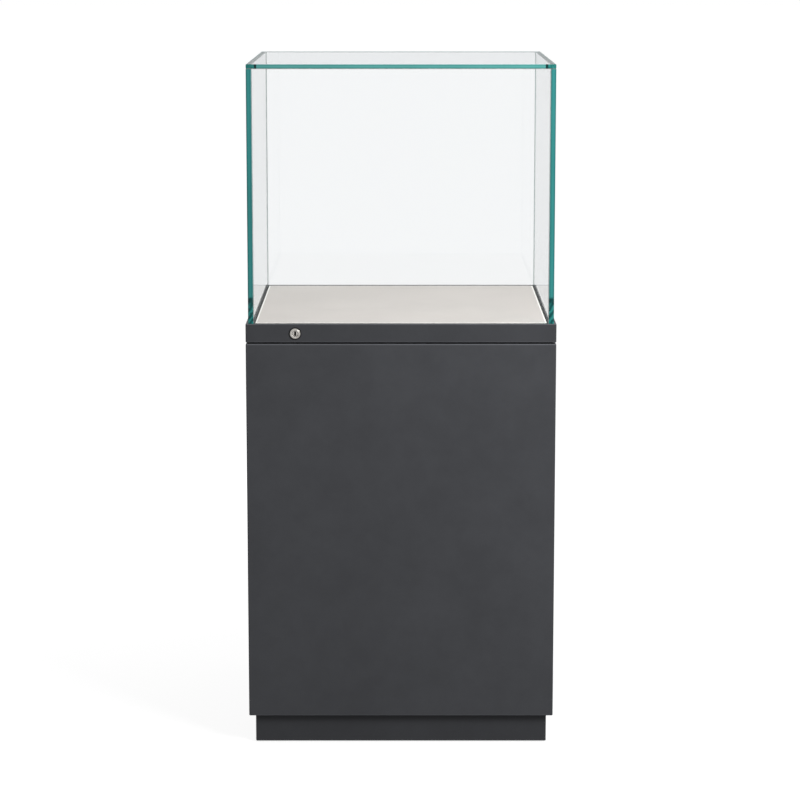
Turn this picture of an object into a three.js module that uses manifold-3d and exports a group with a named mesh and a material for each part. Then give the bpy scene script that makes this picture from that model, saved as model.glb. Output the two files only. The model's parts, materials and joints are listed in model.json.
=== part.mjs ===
// A pedestal display case: a steel pedestal on a recessed plinth with levelling feet, a collar with
// a key lock, a pale deck, and a five-sided glass hood that stands in the collar and lifts off.
// Millimetres, +Z up, the front towards -Y, the origin on the floor under the middle of the case.
// "Inset" is a distance inwards from the upright outer faces of the pedestal.

import * as THREE from 'three';
import { mergeVertices } from 'three/addons/utils/BufferGeometryUtils.js';
import Module from 'manifold-3d';

const wasm = await Module();
wasm.setup();

// ------------------------------------------------------------------ driving dimensions

// Overall
const CASE_W = 600; // across the front
const CASE_D = 600; // front to back
const PLINTH_H = 58; // floor to the underside of the body
const BODY_H = 743;
const SHADOW_H = 3; // shadow gap under the collar
const COLLAR_H = 36;
const HOOD_RISE = 497; // glass that stands above the collar

// Clearances
const FIT = 0.3; // between pieces that rest on or beside each other
const LIFT_FIT = 0.4; // round the hood, where it lifts out of the collar
const HOLE_FIT = 0.3; // round a shank or a stem
const SLOT_FIT = 1; // round the tongue, where it passes the ledge
const DRIVER_FIT = 2; // round a stem, in the floor plate above it
const LOCK_DOOR_FIT = 4; // beside the lock case, in the upstand behind it

// Sheet metal and tube
const SHEET = 2;
const FOLD_R = 2; // outer radius of the upright folded corners
const CORNER_STEPS = 4; // flats in each of those corners
const TUBE = 40; // posts and top rails
const TUBE_WALL = 2;

// Sides of the round shapes
const SHANK_SIDES = 16; // screws, pins and their holes
const STEM_SIDES = 24;
const TURNED_SIDES = 32;
const RING_SIDES = 40;

// Modelling
const OVERRUN = 1; // how far a shape runs past a face where it is joined or cut
const WELD = 1e-4; // corners closer than this are one

// Plinth
const PLINTH_INSET = 12.5;
const PLINTH_LIFT = 2.5; // its lower edge above the floor
const PLINTH_TOP_FLANGE = 25;
const PLINTH_FOOT_FLANGE = 14;
const GUSSET = 80;
const GUSSET_T = 4;
const BOSS_R = 10;
const BOSS_DROP = 24;

// Levelling feet
const FOOT_FROM_SIDE = 55;
const PAD_R = 22;
const PAD_RIM_H = 4;
const PAD_NECK_R = 9;
const PAD_H = 9;
const STEM_R = 5;
const STEM_COLLAR_R = 8;
const STEM_COLLAR_H = 3;
const STEM_SOCKET_FLOOR = 4; // pad material under the stem
const STEM_BELOW_TOP = 1; // top of the stem below the top of its gusset
const STEM_SLOT = 2;
const STEM_SLOT_DEPTH = 4;

// Body
const BODY_TOP_FLANGE = 40;
const BODY_FOOT_FLANGE = 35;
const BACK_BORDER = 30; // metal left beside the back opening
const BACK_SILL = 20; // metal left under the back opening
const PANEL_GAP = 0.6;
const PANEL_FOLD = 15;
const FLOOR_T = 3;

// Fasteners
const BASE_BOLT_FROM_SIDE = 70;
const BASE_BOLT_FROM_FACE = 25;
const BASE_BOLT = { shankR: 4, headR: 6.5, headH: 6, length: 22, headSides: 6 };
const PANEL_SCREW_FROM_EDGE = 6;
const PANEL_SCREW_FROM_END = 30;
const PANEL_SCREW = { shankR: 2, headR: 4, headH: 2.1, length: 14 };
const COLLAR_SCREW_INSET = 33;
const COLLAR_SCREW = { shankR: 3, headR: 5, headH: 6, length: 14 };

// Collar and deck
const SPACER_INSET = 12;
const REBATE_H = 8; // depth of the rebate that holds the foot of the hood
const COLLAR_FLANGE = 42;
const DECK_GAP = 2; // between the glass and the edge of the deck
const DECK_BEARING = 7; // width of ledge under the edge of the deck
const DECK_RAIL_W = 40;
const DECK_RAIL_FROM_MIDDLE = 120;
const GASKET_DROP = 0.5; // its top below the deck
const TAPE_T = 1.4;
const TAPE_MARGIN = 1; // narrower than the glass on each side

// Hood
const GLASS_INSET = 5;
const GLASS_T = 10;
const TOP_GLASS_T = 8;
const SOLE_T = 3;

// Lock
const LOCK_FROM_SIDE = 96; // axis from the left outer face
const LOCK_DROP = 18.4; // axis below the top of the collar
const ESCUTCHEON_R = 12;
const ESCUTCHEON_T = 0.9;
const FACE_R = 10;
const FACE_T = 0.9;
const CYLINDER_R = 8;
const PLUG_R = 5.3;
const PLUG_SINK = 0.3; // plug face behind the cylinder's face
const KEYWAY = { w: 3.8, h: 8.8, depth: 6 };
const DRIVE_R = 6;
const DRIVE_T = 1.5;
const PIN_R = 1.5;
const PIN_THROW_R = 4.5; // driving pin from the axis
const PIN_PLAY = 0.4;
const LOCK_CASE_W = 40;
const LOCK_CASE_BELOW = 13.6;
const LOCK_CASE_ABOVE = 8;
const LOCK_WALL = 1.6;
const BOLT = { t: 2.6, h: 8, tail: 10, shoulder: 8, drop: 8, sink: 0.5 };
const BOLT_BACKSET = 1; // middle of the bolt behind the middle of the glass
const TONGUE = { t: 3, w: 7, below: 10.6, foot: 24, footT: 1.4 };
const TONGUE_GAP = 1.2; // from the lock case

// ------------------------------------------------------------------ places worked out from them

const HALF_W = CASE_W / 2;
const HALF_D = CASE_D / 2;

const Z_BODY_TOP = PLINTH_H + BODY_H;
const Z_COLLAR = Z_BODY_TOP + SHADOW_H;
const Z_DECK = Z_COLLAR + COLLAR_H;
const Z_LEDGE = Z_DECK - REBATE_H;
const Z_TOP = Z_DECK + HOOD_RISE;

const Z_PLINTH_TOP = PLINTH_H - FIT;
const Z_GUSSET_TOP = Z_PLINTH_TOP - SHEET - FIT;
const Z_FLOOR = PLINTH_H + SHEET + FIT;
const Z_POST = Z_FLOOR + FLOOR_T + FIT;
const Z_FRAME_TOP = Z_BODY_TOP - SHEET - FIT;

const TUBE_INSET = SHEET + FIT;
const LIP = GLASS_INSET - LIFT_FIT;
const GLASS_INNER = GLASS_INSET + GLASS_T;
const DECK_INSET = GLASS_INNER + DECK_GAP;
const UPSTAND_INSET = DECK_INSET + DECK_BEARING;
const Z_TAPE = Z_LEDGE + FIT;
const Z_SOLE = Z_TAPE + TAPE_T + FIT;
const Z_GLASS = Z_SOLE + SOLE_T + FIT;

const LOCK_X = LOCK_FROM_SIDE - HALF_W;
const LOCK_Z = Z_DECK - LOCK_DROP;
const HALF_CASE = LOCK_CASE_W / 2;
const BOLT_MIDDLE = GLASS_INSET + GLASS_T / 2 + BOLT_BACKSET;
const BOLT_FRONT = BOLT_MIDDLE - BOLT.t / 2;
const BOLT_REAR = BOLT_MIDDLE + BOLT.t / 2;
const DRIVE_REAR = BOLT_FRONT - FIT;
const DRIVE_FRONT = DRIVE_REAR - DRIVE_T;
const TONGUE_X = HALF_CASE + TONGUE_GAP;
const PIN_REST = PIN_THROW_R * Math.SQRT1_2; // the pin starts and ends its quarter turn this far out

const LEFT_RIGHT = [['left', -1], ['right', 1]];
const FRONT_BACK = [['front', -1], ['back', 1]];
const CORNERS = FRONT_BACK.flatMap(([depth, sy]) =>
  LEFT_RIGHT.map(([side, sx]) => ({ name: `${depth}_${side}`, sx, sy })));

// ------------------------------------------------------------------ finishes

const finish = (color, roughness, metalness, more = {}) =>
  new THREE.MeshStandardMaterial({ color, roughness, metalness, ...more });

const POWDER_COAT = finish(0x454547, 0.55, 0.2);
const ZINC = finish(0xa9adb0, 0.45, 0.8);
const BRIGHT_METAL = finish(0xb9b5b0, 0.25, 1);
const BLACK_METAL = finish(0x1c1c1e, 0.5, 0.4);
const ALUMINIUM = finish(0x8f9294, 0.4, 0.9);
const BLACK_RUBBER = finish(0x202022, 0.85, 0);
const FOAM = finish(0x2c2c2e, 0.95, 0);
const DECK_PAINT = finish(0xd8d5d0, 0.8, 0);
const GLASS = finish(0xcfe9e4, 0.05, 0, { transparent: true, opacity: 0.3 });

// ------------------------------------------------------------------ solids

// A closed three.js geometry as a solid that can be joined and cut.
function solid(geometry) {
  geometry.deleteAttribute('normal');
  geometry.deleteAttribute('uv');
  const merged = mergeVertices(geometry, WELD);
  return new wasm.Manifold(new wasm.Mesh({
    numProp: 3,
    vertProperties: new Float32Array(merged.attributes.position.array),
    triVerts: new Uint32Array(merged.index.array),
  }));
}

// A block between two corners, given as a pair for each axis in either order.
function block([xa, xb], [ya, yb], [za, zb]) {
  const geometry = new THREE.BoxGeometry(Math.abs(xb - xa), Math.abs(yb - ya), Math.abs(zb - za));
  geometry.translate((xa + xb) / 2, (ya + yb) / 2, (za + zb) / 2);
  return solid(geometry);
}

// A round or many-sided bar of radius r upright at (x, y).
function upright(r, [za, zb], x = 0, y = 0, sides = STEM_SIDES) {
  const geometry = new THREE.CylinderGeometry(r, r, zb - za, sides);
  geometry.rotateX(Math.PI / 2);
  geometry.translate(x, y, (za + zb) / 2);
  return solid(geometry);
}

// The same, lying from front to back at (x, z).
function level(r, [ya, yb], x = 0, z = 0, sides = TURNED_SIDES) {
  const geometry = new THREE.CylinderGeometry(r, r, yb - ya, sides);
  geometry.translate(x, (ya + yb) / 2, z);
  return solid(geometry);
}

// A turned piece from its half section, a list of [radius, height].
function turned(profile, sides = TURNED_SIDES) {
  const geometry = new THREE.LatheGeometry(profile.map(([r, z]) => new THREE.Vector2(r, z)), sides);
  geometry.rotateX(Math.PI / 2);
  return solid(geometry);
}

// The corners of a rectangle round the middle of the case, inset from its faces, each one a single
// point or an arc.
function outline(inset, radius) {
  const steps = radius > 0 ? CORNER_STEPS : 0;
  const middleX = HALF_W - inset - radius;
  const middleY = HALF_D - inset - radius;
  const quarters = [[1, 1], [-1, 1], [-1, -1], [1, -1]];
  return quarters.flatMap(([sx, sy], quarter) =>
    Array.from({ length: steps + 1 }, (_, step) => {
      const angle = (quarter + step / Math.max(steps, 1)) * Math.PI / 2;
      return new THREE.Vector2(
        sx * middleX + radius * Math.cos(angle),
        sy * middleY + radius * Math.sin(angle),
      );
    }));
}

function slab(inset, [za, zb], radius) {
  const shape = new THREE.Shape(outline(inset, radius));
  const geometry = new THREE.ExtrudeGeometry(shape, { depth: zb - za, bevelEnabled: false });
  geometry.translate(0, 0, za);
  return solid(geometry);
}

// A ring round the case between two insets and two heights.
function ring(outer, inner, [za, zb], radius = 0) {
  return slab(outer, [za, zb], radius).subtract(slab(inner, [za - OVERRUN, zb + OVERRUN], 0));
}

const join = (first, ...others) => others.reduce((whole, other) => whole.add(other), first);
const cut = (first, ...others) => others.reduce((whole, other) => whole.subtract(other), first);

// ------------------------------------------------------------------ scene graph

const displayCase = new THREE.Group();

function subGroup(parent, x = 0, y = 0, z = 0) {
  const group = new THREE.Group();
  group.position.set(x, y, z);
  parent.add(group);
  return group;
}

function addPiece(parent, name, body, material) {
  const { vertProperties, triVerts } = body.getMesh();
  const geometry = new THREE.BufferGeometry();
  geometry.setAttribute('position', new THREE.BufferAttribute(vertProperties, 3));
  geometry.setIndex(new THREE.BufferAttribute(triVerts, 1));
  geometry.computeVertexNormals();
  const mesh = new THREE.Mesh(geometry, material);
  mesh.name = name;
  parent.add(mesh);
  return mesh;
}

// A fastener with its head on the local origin's plane and its shank down -Z.
function fastener({ shankR, headR, headH, length, headSides = SHANK_SIDES }) {
  return join(
    upright(headR, [0, headH], 0, 0, headSides),
    upright(shankR, [-length, OVERRUN], 0, 0, SHANK_SIDES),
  );
}

// ------------------------------------------------------------------ plinth and levelling feet

const baseBoltHoles = CORNERS.map(({ sx, sy }) => upright(
  BASE_BOLT.shankR + HOLE_FIT, [Z_GUSSET_TOP - GUSSET_T - OVERRUN, Z_POST],
  sx * (HALF_W - BASE_BOLT_FROM_SIDE), sy * (HALF_D - BASE_BOLT_FROM_FACE), SHANK_SIDES));

function plinthFrame() {
  return cut(
    join(
      ring(PLINTH_INSET, PLINTH_INSET + SHEET, [PLINTH_LIFT, Z_PLINTH_TOP], FOLD_R),
      ring(PLINTH_INSET, PLINTH_INSET + PLINTH_TOP_FLANGE,
        [Z_PLINTH_TOP - SHEET, Z_PLINTH_TOP], FOLD_R),
      ring(PLINTH_INSET, PLINTH_INSET + PLINTH_FOOT_FLANGE,
        [PLINTH_LIFT, PLINTH_LIFT + SHEET], FOLD_R),
    ),
    ...baseBoltHoles,
  );
}

// A corner plate under the top flange of the plinth, with a threaded boss for the foot.
function gusset({ sx, sy }) {
  const inset = PLINTH_INSET + SHEET + FIT;
  const spanX = [sx * (HALF_W - inset), sx * (HALF_W - inset - GUSSET)];
  const spanY = [sy * (HALF_D - inset), sy * (HALF_D - inset - GUSSET)];
  const footX = sx * (HALF_W - FOOT_FROM_SIDE);
  const footY = sy * (HALF_D - FOOT_FROM_SIDE);
  const bottom = Z_GUSSET_TOP - GUSSET_T;
  return cut(
    join(
      block(spanX, spanY, [bottom, Z_GUSSET_TOP]),
      upright(BOSS_R, [bottom - BOSS_DROP, bottom + OVERRUN], footX, footY),
    ),
    upright(STEM_R + HOLE_FIT, [0, PLINTH_H], footX, footY),
    ...baseBoltHoles,
  );
}

function footPad() {
  const socketR = STEM_R + HOLE_FIT;
  return turned([
    [0, 0], [PAD_R, 0], [PAD_R, PAD_RIM_H], [PAD_NECK_R, PAD_H],
    [socketR, PAD_H], [socketR, STEM_SOCKET_FLOOR], [0, STEM_SOCKET_FLOOR],
  ]);
}

// Turned by a screwdriver from above, through the hole in the floor plate.
function footStem() {
  const top = Z_GUSSET_TOP - STEM_BELOW_TOP;
  const collar = PAD_H + FIT;
  const stem = turned([
    [0, STEM_SOCKET_FLOOR + FIT], [STEM_R, STEM_SOCKET_FLOOR + FIT], [STEM_R, collar],
    [STEM_COLLAR_R, collar], [STEM_COLLAR_R, collar + STEM_COLLAR_H],
    [STEM_R, collar + STEM_COLLAR_H], [STEM_R, top], [0, top],
  ], STEM_SIDES);
  const slotSpan = [-STEM_SLOT / 2, STEM_SLOT / 2];
  return cut(stem, block([-STEM_R, STEM_R], slotSpan, [top - STEM_SLOT_DEPTH, top + OVERRUN]));
}

const plinth = subGroup(displayCase);
addPiece(plinth, 'plinth_frame', plinthFrame(), POWDER_COAT);
for (const corner of CORNERS) {
  const { name, sx, sy } = corner;
  addPiece(plinth, `plinth_gusset_${name}`, gusset(corner), ZINC);

  const foot = subGroup(plinth, sx * (HALF_W - FOOT_FROM_SIDE), sy * (HALF_D - FOOT_FROM_SIDE));
  addPiece(foot, `foot_pad_${name}`, footPad(), BLACK_RUBBER);
  addPiece(foot, `foot_stem_${name}`, footStem(), ZINC);

  const bolt = subGroup(plinth, sx * (HALF_W - BASE_BOLT_FROM_SIDE),
    sy * (HALF_D - BASE_BOLT_FROM_FACE), Z_POST);
  addPiece(bolt, `base_bolt_${name}`, fastener(BASE_BOLT), ZINC);
}

// ------------------------------------------------------------------ pedestal body

// The opening ends under the back top rail.
const backOpening = {
  x: HALF_W - BACK_BORDER,
  low: PLINTH_H + BACK_SILL,
  high: Z_FRAME_TOP - TUBE - FIT,
};
const panelHalf = backOpening.x - PANEL_GAP;
const panelLow = backOpening.low + PANEL_GAP;
const panelHigh = backOpening.high - PANEL_GAP;
const panelScrewRows = [
  ['lower', panelLow + PANEL_SCREW_FROM_END],
  ['upper', panelHigh - PANEL_SCREW_FROM_END],
];
const panelScrews = panelScrewRows.flatMap(([row, z]) => LEFT_RIGHT.map(([side, s]) => ({
  name: `${row}_${side}`,
  x: s * (panelHalf - PANEL_SCREW_FROM_EDGE),
  z,
})));
const panelScrewHoles = panelScrews.map(({ x, z }) =>
  level(PANEL_SCREW.shankR + HOLE_FIT, [HALF_D - TUBE / 2, HALF_D + OVERRUN], x, z, SHANK_SIDES));

const collarScrews = [
  ...FRONT_BACK.map(([name, s]) => ({ name, x: 0, y: s * (HALF_D - COLLAR_SCREW_INSET) })),
  ...LEFT_RIGHT.map(([name, s]) => ({ name, x: s * (HALF_W - COLLAR_SCREW_INSET), y: 0 })),
];
const collarScrewHoles = collarScrews.map(({ x, y }) =>
  upright(COLLAR_SCREW.shankR + HOLE_FIT, [Z_FRAME_TOP - TUBE / 2, Z_LEDGE], x, y, SHANK_SIDES));

function bodyShell() {
  return cut(
    join(
      ring(0, SHEET, [PLINTH_H, Z_BODY_TOP], FOLD_R),
      ring(0, BODY_TOP_FLANGE, [Z_BODY_TOP - SHEET, Z_BODY_TOP], FOLD_R),
      ring(0, BODY_FOOT_FLANGE, [PLINTH_H, PLINTH_H + SHEET], FOLD_R),
    ),
    block([-backOpening.x, backOpening.x], [HALF_D - SHEET - OVERRUN, HALF_D + OVERRUN],
      [backOpening.low, backOpening.high]),
    ...baseBoltHoles,
    ...collarScrewHoles,
  );
}

// A flush sheet with its top and bottom edges folded inwards, between the rear posts.
function backPanel() {
  const foldHalf = HALF_W - TUBE_INSET - TUBE - FIT;
  const foldY = [HALF_D - PANEL_FOLD, HALF_D];
  return cut(
    join(
      block([-panelHalf, panelHalf], [HALF_D - SHEET, HALF_D], [panelLow, panelHigh]),
      block([-foldHalf, foldHalf], foldY, [panelLow, panelLow + SHEET]),
      block([-foldHalf, foldHalf], foldY, [panelHigh - SHEET, panelHigh]),
    ),
    ...panelScrewHoles,
  );
}

// Lies on the foot flange of the body, with a hole over each levelling foot.
function floorPlate() {
  const plateX = HALF_W - SHEET - FIT;
  const plateY = HALF_D - SHEET - FIT;
  return cut(
    block([-plateX, plateX], [-plateY, plateY], [Z_FLOOR, Z_FLOOR + FLOOR_T]),
    ...CORNERS.map(({ sx, sy }) => upright(STEM_R + DRIVER_FIT, [PLINTH_H, Z_POST],
      sx * (HALF_W - FOOT_FROM_SIDE), sy * (HALF_D - FOOT_FROM_SIDE), SHANK_SIDES)),
    ...baseBoltHoles,
  );
}

function cornerPost({ sx, sy }) {
  const tube = (wall, span) => block(
    [sx * (HALF_W - TUBE_INSET - wall), sx * (HALF_W - TUBE_INSET - TUBE + wall)],
    [sy * (HALF_D - TUBE_INSET - wall), sy * (HALF_D - TUBE_INSET - TUBE + wall)],
    span,
  );
  return cut(tube(0, [Z_POST, Z_FRAME_TOP]), tube(TUBE_WALL, [0, Z_TOP]), ...panelScrewHoles);
}

// A tube between two posts, along X for the front and back and along Y for the sides.
function topRail(side, alongX) {
  const half = (alongX ? HALF_D : HALF_W) - TUBE_INSET;
  const reach = (alongX ? HALF_W : HALF_D) - TUBE_INSET - TUBE - FIT;
  const tube = (wall, extra) => {
    const along = [-reach - extra, reach + extra];
    const across = [side * (half - wall), side * (half - TUBE + wall)];
    const height = [Z_FRAME_TOP - TUBE + wall, Z_FRAME_TOP - wall];
    return alongX ? block(along, across, height) : block(across, along, height);
  };
  return cut(tube(0, 0), tube(TUBE_WALL, OVERRUN), ...collarScrewHoles);
}

const pedestal = subGroup(displayCase);
addPiece(pedestal, 'body_shell', bodyShell(), POWDER_COAT);
addPiece(pedestal, 'back_panel', backPanel(), POWDER_COAT);
addPiece(pedestal, 'floor_plate', floorPlate(), ZINC);
for (const corner of CORNERS) {
  addPiece(pedestal, `corner_post_${corner.name}`, cornerPost(corner), ZINC);
}
for (const [name, side] of FRONT_BACK) {
  addPiece(pedestal, `top_rail_${name}`, topRail(side, true), ZINC);
}
for (const [name, side] of LEFT_RIGHT) {
  addPiece(pedestal, `top_rail_${name}`, topRail(side, false), ZINC);
}
for (const { name, x, z } of panelScrews) {
  const screw = subGroup(pedestal, x, HALF_D + FIT, z);
  screw.rotation.x = -Math.PI / 2;
  addPiece(screw, `back_screw_${name}`, fastener(PANEL_SCREW), BLACK_METAL);
}

// ------------------------------------------------------------------ collar and deck

function gapSpacer() {
  return cut(
    ring(SPACER_INSET, COLLAR_FLANGE, [Z_BODY_TOP + FIT, Z_COLLAR - FIT]),
    ...collarScrewHoles,
  );
}

// A box section: outer wall, lip round the glass, ledge under it, upstand and foot flange.
function collar() {
  const ledgeUnder = Z_LEDGE - SHEET;
  const lockHole = level(
    CYLINDER_R + HOLE_FIT, [-HALF_D - OVERRUN, -HALF_D + SHEET + OVERRUN], LOCK_X, LOCK_Z);
  const lockDoor = block(
    [LOCK_X - HALF_CASE - LOCK_DOOR_FIT, LOCK_X + HALF_CASE + LOCK_DOOR_FIT],
    [-HALF_D + UPSTAND_INSET - SHEET - OVERRUN, -HALF_D + UPSTAND_INSET + OVERRUN],
    [Z_COLLAR + SHEET, ledgeUnder],
  );
  const tongueSlot = block(
    [LOCK_X + TONGUE_X - SLOT_FIT, LOCK_X + TONGUE_X + TONGUE.t + SLOT_FIT],
    [-HALF_D + BOLT_MIDDLE - TONGUE.w / 2 - SLOT_FIT, -HALF_D + BOLT_MIDDLE + TONGUE.w / 2 + SLOT_FIT],
    [ledgeUnder - OVERRUN, Z_LEDGE + OVERRUN],
  );
  return cut(
    join(
      ring(0, SHEET, [Z_COLLAR, Z_DECK], FOLD_R),
      ring(0, LIP, [ledgeUnder, Z_DECK], FOLD_R),
      ring(0, UPSTAND_INSET, [ledgeUnder, Z_LEDGE], FOLD_R),
      ring(UPSTAND_INSET - SHEET, UPSTAND_INSET, [Z_COLLAR, Z_LEDGE]),
      ring(0, COLLAR_FLANGE, [Z_COLLAR, Z_COLLAR + SHEET], FOLD_R),
    ),
    lockHole, lockDoor, tongueSlot,
    ...collarScrewHoles,
  );
}

function deckRail(side) {
  const reach = HALF_D - UPSTAND_INSET - FIT;
  const low = Z_COLLAR + SHEET + FIT;
  const tube = (wall, extra) => block(
    [side * (DECK_RAIL_FROM_MIDDLE - DECK_RAIL_W / 2 + wall),
      side * (DECK_RAIL_FROM_MIDDLE + DECK_RAIL_W / 2 - wall)],
    [-reach - extra, reach + extra],
    [low + wall, Z_LEDGE - wall],
  );
  return cut(tube(0, 0), tube(TUBE_WALL, OVERRUN));
}

function deckBoard() {
  const x = HALF_W - DECK_INSET;
  const y = HALF_D - DECK_INSET;
  return block([-x, x], [-y, y], [Z_LEDGE + FIT, Z_DECK]);
}

function deckGasket() {
  return ring(GLASS_INNER + FIT, DECK_INSET - FIT, [Z_LEDGE + FIT, Z_DECK - GASKET_DROP]);
}

// Foam on the ledge under the hood, left out where the tongue's foot lies.
function seatTape() {
  const start = LOCK_X + TONGUE_X;
  return cut(
    ring(GLASS_INSET + TAPE_MARGIN, GLASS_INNER - TAPE_MARGIN, [Z_TAPE, Z_TAPE + TAPE_T]),
    block([start - 2 * SLOT_FIT, start + TONGUE.foot + SLOT_FIT], [-HALF_D, -HALF_D + DECK_INSET],
      [Z_LEDGE, Z_DECK]),
  );
}

const collarGroup = subGroup(displayCase);
addPiece(collarGroup, 'gap_spacer', gapSpacer(), BLACK_METAL);
addPiece(collarGroup, 'collar', collar(), POWDER_COAT);
for (const { name, x, y } of collarScrews) {
  const screw = subGroup(collarGroup, x, y, Z_COLLAR + SHEET + FIT);
  addPiece(screw, `collar_screw_${name}`, fastener(COLLAR_SCREW), ZINC);
}
for (const [name, side] of LEFT_RIGHT) {
  addPiece(collarGroup, `deck_rail_${name}`, deckRail(side), ZINC);
}
addPiece(collarGroup, 'deck_board', deckBoard(), DECK_PAINT);
addPiece(collarGroup, 'deck_gasket', deckGasket(), BLACK_RUBBER);
addPiece(collarGroup, 'hood_seat_tape', seatTape(), FOAM);

// ------------------------------------------------------------------ glass hood

// The side panels run the full depth, the front and back panels stand between them, and the top
// lies over all four.
const glassX = HALF_W - GLASS_INSET;
const glassY = HALF_D - GLASS_INSET;
const betweenX = glassX - GLASS_T - FIT;

function hoodSide(side, span) {
  return block([side * glassX, side * (glassX - GLASS_T)], [-glassY, glassY], span);
}

function hoodEnd(side, span) {
  return block([-betweenX, betweenX], [side * glassY, side * (glassY - GLASS_T)], span);
}

// A plate that hangs through the ledge and takes the bolt, with a foot under the sole strip.
function hoodTongue() {
  const across = [BOLT_MIDDLE - TONGUE.w / 2, BOLT_MIDDLE + TONGUE.w / 2];
  const top = Z_SOLE - FIT - LOCK_Z;
  const eye = SLOT_FIT / 2;
  return cut(
    join(
      block([TONGUE_X, TONGUE_X + TONGUE.t], across, [-TONGUE.below, top]),
      block([TONGUE_X, TONGUE_X + TONGUE.foot], across, [top - TONGUE.footT, top]),
    ),
    block([TONGUE_X - OVERRUN, TONGUE_X + TONGUE.t + OVERRUN], [BOLT_FRONT - eye, BOLT_REAR + eye],
      [-BOLT.h / 2 - eye, BOLT.h / 2 + eye]),
  );
}

const hood = subGroup(displayCase);
const topGlass = block([-glassX, glassX], [-glassY, glassY], [Z_TOP - TOP_GLASS_T, Z_TOP]);
const wallSpan = [Z_GLASS, Z_TOP - TOP_GLASS_T - FIT];
const soleSpan = [Z_SOLE, Z_SOLE + SOLE_T];
addPiece(hood, 'glass_top', topGlass, GLASS);
for (const [name, side] of LEFT_RIGHT) {
  addPiece(hood, `glass_${name}`, hoodSide(side, wallSpan), GLASS);
  addPiece(hood, `hood_sole_${name}`, hoodSide(side, soleSpan), ALUMINIUM);
}
for (const [name, side] of FRONT_BACK) {
  addPiece(hood, `glass_${name}`, hoodEnd(side, wallSpan), GLASS);
  addPiece(hood, `hood_sole_${name}`, hoodEnd(side, soleSpan), ALUMINIUM);
}
const tongue = subGroup(hood, LOCK_X, -HALF_D, LOCK_Z);
addPiece(tongue, 'hood_tongue', hoodTongue(), ZINC);

// ------------------------------------------------------------------ lock
// Its own frame has the origin on the collar's face at the axis, with +Y into the case.

const faceRear = -FIT - ESCUTCHEON_T - FIT;
const faceFront = faceRear - FACE_T;

function escutcheon() {
  return cut(
    level(ESCUTCHEON_R, [-FIT - ESCUTCHEON_T, -FIT], 0, 0, RING_SIDES),
    level(CYLINDER_R + HOLE_FIT, [-FIT - ESCUTCHEON_T - OVERRUN, OVERRUN]),
  );
}

function lockCylinder() {
  const rear = DRIVE_FRONT - FIT;
  return cut(
    join(
      level(FACE_R, [faceFront, faceRear], 0, 0, RING_SIDES),
      level(CYLINDER_R, [faceFront, rear]),
    ),
    level(PLUG_R + HOLE_FIT, [faceFront - OVERRUN, rear + OVERRUN]),
  );
}

// The plug, its keyway, and behind it a disc with the eccentric pin that drives the bolt.
function lockPlug() {
  const front = faceFront + PLUG_SINK;
  return cut(
    join(
      level(PLUG_R, [front, DRIVE_REAR]),
      level(DRIVE_R, [DRIVE_FRONT, DRIVE_REAR]),
      level(PIN_R, [DRIVE_FRONT, BOLT_REAR - FIT], -PIN_REST, -PIN_REST, SHANK_SIDES),
    ),
    block([-KEYWAY.w / 2, KEYWAY.w / 2], [front - OVERRUN, front + KEYWAY.depth],
      [-KEYWAY.h / 2, KEYWAY.h / 2]),
  );
}

// A tray behind the collar's front wall, open at its back, with a window for the bolt.
function lockCase() {
  const front = SHEET + FIT;
  const span = (wall) => [[-HALF_CASE + wall, HALF_CASE - wall],
    [-LOCK_CASE_BELOW + wall, LOCK_CASE_ABOVE - wall]];
  const [outerX, outerZ] = span(0);
  const [innerX, innerZ] = span(LOCK_WALL);
  return cut(
    block(outerX, [front, BOLT_REAR], outerZ),
    block(innerX, [front + LOCK_WALL, BOLT_REAR + OVERRUN], innerZ),
    level(CYLINDER_R + HOLE_FIT, [0, DRIVE_FRONT]),
    block([0, HALF_CASE + OVERRUN], [BOLT_FRONT - FIT, BOLT_REAR + OVERRUN],
      [-BOLT.h / 2 - FIT, BOLT.h / 2 + FIT]),
  );
}

function lockCover() {
  const front = BOLT_REAR + FIT;
  return block([-HALF_CASE, HALF_CASE], [front, front + LOCK_WALL],
    [-LOCK_CASE_BELOW, LOCK_CASE_ABOVE]);
}

// A nose that shoots through the window, and a deeper tail with the slot that the pin works in.
function lockBolt() {
  const thick = [BOLT_FRONT, BOLT_REAR];
  const slot = PIN_R + PIN_PLAY;
  return cut(
    join(
      block([-BOLT.tail, HALF_CASE - BOLT.sink], thick, [-BOLT.h / 2, BOLT.h / 2]),
      block([-BOLT.tail, BOLT.shoulder], thick, [-BOLT.drop, BOLT.h / 2]),
    ),
    block([-PIN_REST - slot, -PIN_REST + slot], [BOLT_FRONT - OVERRUN, BOLT_REAR + OVERRUN],
      [-PIN_THROW_R - slot, -PIN_REST + slot]),
  );
}

const lock = subGroup(displayCase, LOCK_X, -HALF_D, LOCK_Z);
addPiece(lock, 'lock_escutcheon', escutcheon(), BLACK_METAL);
addPiece(lock, 'lock_cylinder', lockCylinder(), BRIGHT_METAL);
addPiece(lock, 'lock_plug', lockPlug(), BRIGHT_METAL);
addPiece(lock, 'lock_case', lockCase(), ZINC);
addPiece(lock, 'lock_cover', lockCover(), ZINC);
addPiece(lock, 'lock_bolt', lockBolt(), BRIGHT_METAL);

export default displayCase;
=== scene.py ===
import json
import math

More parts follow.
